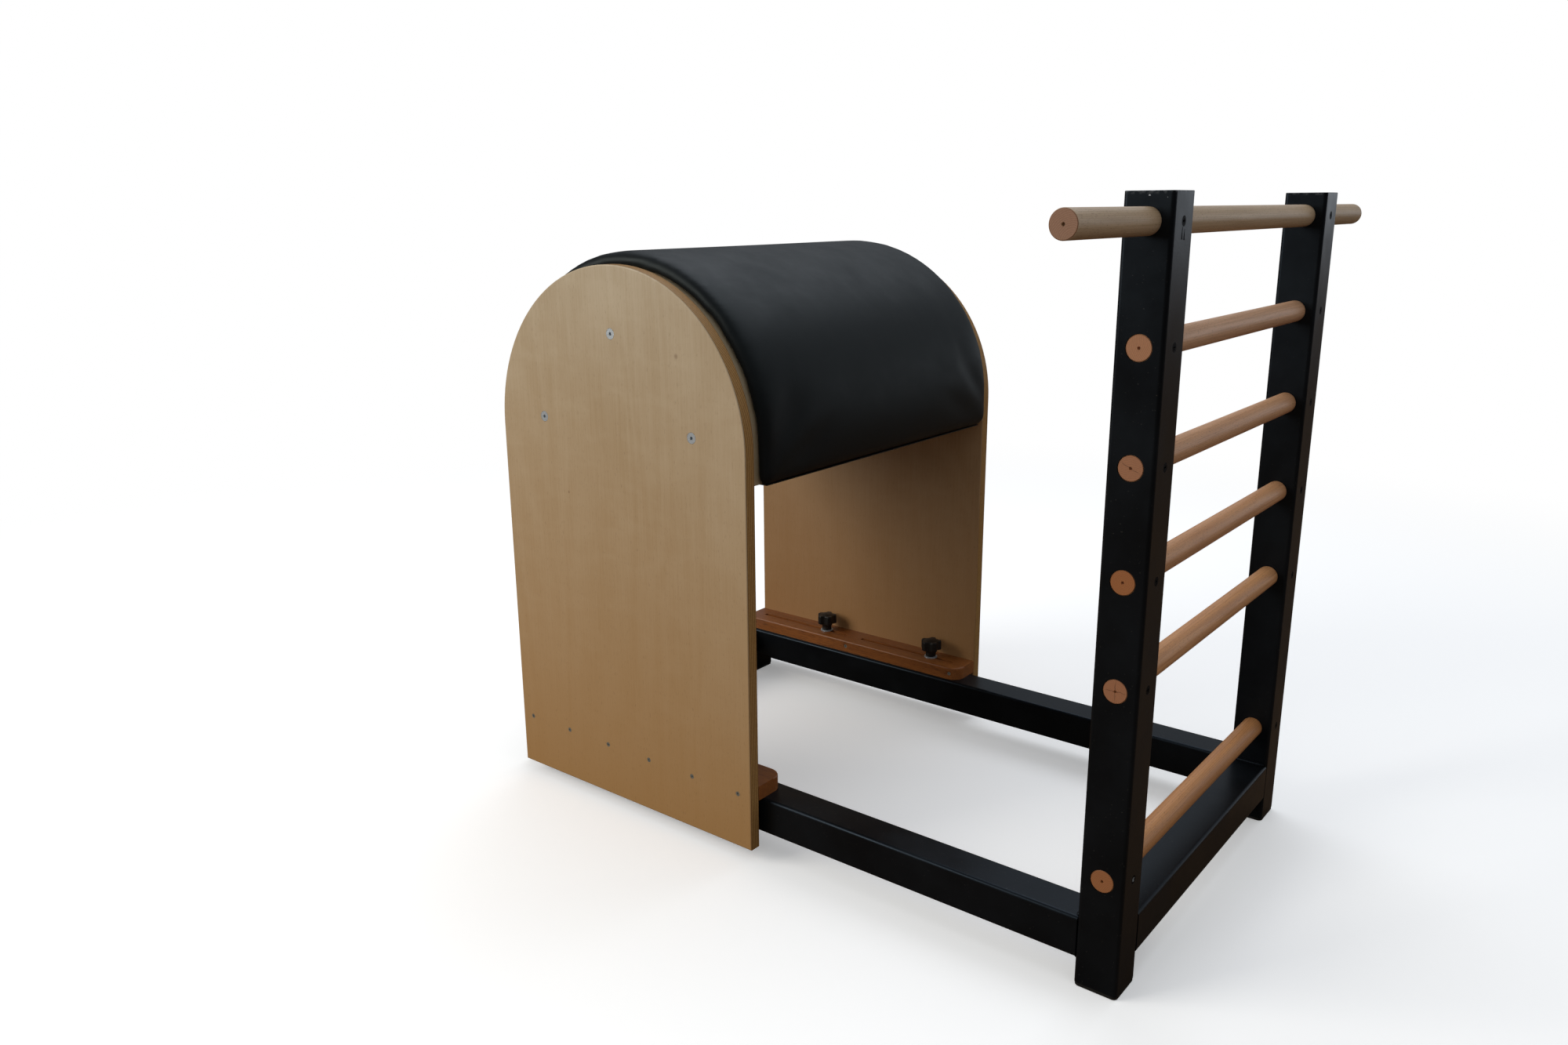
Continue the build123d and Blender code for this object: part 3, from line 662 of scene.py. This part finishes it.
def weldBead(look):
    deselectAll()
    step = look["length"] / look["rings"]
    bpy.ops.mesh.primitive_circle_add(vertices=10, radius=look["radius"] * 0.6, fill_type="NGON",
                                      location=(0, 0, -look["length"] / 2))
    bead = bpy.context.object
    bpy.ops.object.mode_set(mode="EDIT")
    bpy.ops.mesh.select_all(action="SELECT")
    for ring in range(look["rings"]):
        bpy.ops.mesh.extrude_region_move(TRANSFORM_OT_translate={"value": (0, 0, step)})
        grow = look["ripple"] if ring % 2 else 1 / look["ripple"]
        grow = {0: 1.6, look["rings"] - 1: 0.6}.get(ring, grow)
        bpy.ops.transform.resize(value=(grow, grow, 1), center_override=(0, 0, 0))
    bpy.ops.mesh.select_all(action="SELECT")
    bpy.ops.mesh.normals_make_consistent(inside=False)
    bpy.ops.object.mode_set(mode="OBJECT")
    settle(bead)
    applyModifier(bead, "SUBSURF", levels=1, render_levels=1)
    smoothed(bead)
    return bead


beadModel = weldBead(weldLook)
postMiddle, crossMiddle = (postLow.x + postHigh.x) / 2, (crossLow.x + crossHigh.x) / 2
railMiddle = (railLow.z + railHigh.z) / 2
seams = []
for side in (-1, 1):
    outerY = side * (abs(railLow.y) + abs(railHigh.y)) / 2
    innerY = side * abs(railHigh.y)
    for height, up in ((railHigh.z, 1), (railLow.z, -1)):
        seams.append(((postLow.x, outerY, height), "Y", (-1, 0, up)))  # rail to post
        seams.append(((postMiddle, innerY, height), "X", (0, -side, up)))  # front tube to post
    seams.append(((crossHigh.x, innerY, railMiddle), "Z", (1, -side, 0)))  # rear tube to rail
    seams.append(((crossHigh.x, outerY, railLow.z), "Y", (1, 0, -1)))  # leg to rail
    seams.append(((crossMiddle, innerY, railLow.z), "X", (0, -side, -1)))  # leg to rear tube
turns = {"X": Matrix.Rotation(math.pi / 2, 4, "Y"), "Y": Matrix.Rotation(-math.pi / 2, 4, "X"),
         "Z": Matrix.Identity(4)}
for number, (spot, along, outward) in enumerate(seams, 1):
    bead = copyPiece(beadModel, f"weld_{number}")
    lift = Vector(outward) * weldLook["bury"]
    bead.data.transform(Matrix.Translation(Vector(spot) + lift) @ turns[along])
    placed(bead, blackEnamel, "frame")
bpy.data.objects.remove(beadModel)
print("laid", len(seams), "weld beads")

# Runs of enamel under the near top screw, each a drop that thins upwards
runLook = {"width": 0.0034, "proud": 0.0006, "thinned": 0.45,
           "places": [(-0.3000, 0.9795, 0.011), (-0.2930, 0.9765, 0.009)]}
for number, (y, z, length) in enumerate(runLook["places"], 1):
    deselectAll()
    bpy.ops.mesh.primitive_uv_sphere_add(segments=16, ring_count=10, radius=runLook["width"] / 2,
                                         location=(0, 0, 0))
    run = bpy.context.object
    run.name = f"paint_run_{number}"
    bpy.ops.object.mode_set(mode="EDIT")
    bpy.ops.mesh.select_all(action="DESELECT")
    bpy.ops.object.mode_set(mode="OBJECT")
    for vertex in run.data.vertices:
        vertex.select = vertex.co.z > 0.0001
    bpy.ops.object.mode_set(mode="EDIT")
    bpy.ops.transform.translate(value=(0, 0, length))
    thinned = runLook["thinned"]
    bpy.ops.transform.resize(value=(thinned, thinned, 1), center_override=(0, 0, 0))
    bpy.ops.mesh.select_all(action="SELECT")
    flattened = 2 * runLook["proud"] / runLook["width"]
    bpy.ops.transform.resize(value=(flattened, 1, 1), center_override=(0, 0, 0))
    bpy.ops.object.mode_set(mode="OBJECT")
    run.data.transform(Matrix.Translation((postHigh.x, y, z - length)))
    smoothed(run)
    placed(run, blackEnamel, "frame")
print("ran", len(runLook["places"]), "drops of enamel down the near post")

# Floor: plain and pale, its shadow soft, fading into the white backdrop. What it throws back is brown
floorLook = {"size": 60.0, "height": -0.0005, "seen": "#f6f6f5", "bounced": "#6f5843", "lift": 0.26,
             "fadeFrom": 1.6, "fadeTo": 3.4}


def seenRays(tree):  # 1 for what the camera sees, straight or through something clear, else 0
    path = addNode(tree, "ShaderNodeLightPath")
    seen = sums(tree, "MAXIMUM", path.outputs["Is Camera Ray"], path.outputs["Is Transmission Ray"])
    return seen, path.outputs["Is Glossy Ray"]


def studioFloor(look):
    deselectAll()
    bpy.ops.mesh.primitive_plane_add(size=look["size"], location=(0, 0, look["height"]))
    floor = bpy.context.object
    floor.name = "studio_floor"
    material, tree, shader, place = newMaterial("paleStudioFloor")
    tree.nodes.remove(shader)
    seen, _ = seenRays(tree)
    colour = blended(tree, seen, look["bounced"], look["seen"])
    matt = addNode(tree, "ShaderNodeBsdfDiffuse", {"Color": colour})
    lift = addNode(tree, "ShaderNodeEmission", {"Strength": sums(tree, "MULTIPLY", seen, look["lift"])})
    lit = addNode(tree, "ShaderNodeAddShader", {0: matt.outputs[0], 1: lift.outputs[0]})
    white = addNode(tree, "ShaderNodeEmission", {"Strength": 1.0})
    away = addNode(tree, "ShaderNodeVectorMath", {0: place}, operation="LENGTH").outputs["Value"]
    far = ranged(tree, away, look["fadeFrom"], look["fadeTo"], 0, 1, "SMOOTHSTEP")
    fade = addNode(tree, "ShaderNodeMixShader", {0: sums(tree, "MULTIPLY", far, seen),
                                                 1: lit.outputs[0], 2: white.outputs[0]})
    below = addNode(tree, "ShaderNodeNewGeometry").outputs["Backfacing"]
    clear = addNode(tree, "ShaderNodeBsdfTransparent")
    oneSided = addNode(tree, "ShaderNodeMixShader", {0: below, 1: fade.outputs[0], 2: clear.outputs[0]})
    output = next(node for node in tree.nodes if node.type == "OUTPUT_MATERIAL")
    tree.links.new(oneSided.outputs[0], output.inputs["Surface"])
    floor.data.materials.append(material)


studioFloor(floorLook)

# World: white to the camera, an even pale fill, and to gloss a dim room that is brighter overhead, towards
# the backdrop and, past the ladder, at a pale wall that shows in the posts
worldLook = {
    "fill": "#e9edf2", "fillStrength": 0.62, "room": "#e6edf5", "cameraSide": 0.04, "backdrop": 0.34,
    "backdropWay": (0.2, 0.77), "backdropFrom": -0.1, "backdropTo": 0.8,
    "overhead": 0.16, "overheadFrom": 0.15, "overheadTo": 0.9,
    "pale": 0.95, "paleWay": (0.348, 0.937), "paleFrom": 0.945, "paleTo": 0.995,
}


def towards(tree, direction, way):  # how far a direction points along a level way (x, y)
    along = sums(tree, "MULTIPLY", axisOf(tree, direction, "Y"), way[1])
    return sums(tree, "MULTIPLY_ADD", axisOf(tree, direction, "X"), way[0], along)


def studioWorld(look):
    world = bpy.data.worlds.new("studio")
    bpy.context.scene.world = world
    world.use_nodes = True
    tree = world.node_tree
    tree.nodes.clear()
    direction = addNode(tree, "ShaderNodeTexCoord").outputs["Generated"]
    level = ranged(tree, towards(tree, direction, look["backdropWay"]), look["backdropFrom"], look["backdropTo"],
                   look["cameraSide"], look["backdrop"], "SMOOTHSTEP")
    up = ranged(tree, axisOf(tree, direction, "Z"), look["overheadFrom"], look["overheadTo"], 0, 1, "SMOOTHSTEP")
    level = sums(tree, "MULTIPLY_ADD", up, look["overhead"], level)
    pale = ranged(tree, towards(tree, direction, look["paleWay"]), look["paleFrom"], look["paleTo"],
                  0, look["pale"], "SMOOTHSTEP")
    level = sums(tree, "ADD", pale, level)
    mirrored = addNode(tree, "ShaderNodeBackground", {"Color": linearColour(look["room"]), "Strength": level})
    ambient = addNode(tree, "ShaderNodeBackground", {"Color": linearColour(look["fill"]),
                                                     "Strength": look["fillStrength"]})
    white = addNode(tree, "ShaderNodeBackground", {"Color": (1, 1, 1, 1), "Strength": 1.0})
    seen, glossy = seenRays(tree)
    inside = addNode(tree, "ShaderNodeMixShader", {0: glossy, 1: ambient.outputs[0], 2: mirrored.outputs[0]})
    shown = addNode(tree, "ShaderNodeMixShader", {0: seen, 1: inside.outputs[0], 2: white.outputs[0]})
    addNode(tree, "ShaderNodeOutputWorld", {"Surface": shown.outputs[0]})


studioWorld(worldLook)

# Lamps: a wide soft one behind and above, a soft one at the front left
lampLooks = {
    "overheadLamp": {"place": (-0.6, 1.6, 3.4), "aim": (-0.1, 0, 0.5), "size": (3.2, 2.2),
                     "power": 36, "colour": "#f1f6ff"},
    "frontLamp": {"place": (-2.6, -3.2, 2.2), "aim": (-0.2, -0.2, 0.5), "size": (2.4, 2.4),
                  "power": 105, "colour": "#fffaf2"},
}
for name, look in lampLooks.items():
    lamp = bpy.data.lights.new(name, "AREA")
    lamp.shape = "RECTANGLE"
    lamp.size, lamp.size_y = look["size"]
    lamp.energy = look["power"]
    lamp.color = linearColour(look["colour"])[:3]
    lampObject = bpy.data.objects.new(name, lamp)
    bpy.context.scene.collection.objects.link(lampObject)
    lampObject.location = look["place"]
    aim = Vector(look["aim"]) - Vector(look["place"])
    lampObject.rotation_euler = aim.to_track_quat("-Z", "Y").to_euler()

# Camera solved on the photograph's 2000 by 1333 frame
cameraLook = {"place": (1.08212, -1.64364, 1.00581), "turn": (75.1408, 0.3888, 38.3779), "lens": 27.375,
              "sensor": 36, "reach": 200}
camera = bpy.data.cameras.new("photoCamera")
camera.sensor_width = cameraLook["sensor"]
camera.lens = cameraLook["lens"]
camera.clip_end = cameraLook["reach"]
cameraObject = bpy.data.objects.new("photoCamera", camera)
bpy.context.scene.collection.objects.link(cameraObject)
cameraObject.location = cameraLook["place"]
cameraObject.rotation_euler = [math.radians(angle) for angle in cameraLook["turn"]]
bpy.context.scene.camera = cameraObject
bpy.context.scene.view_settings.view_transform = "Standard"

print("ready: floor, world, lamps and camera are set")
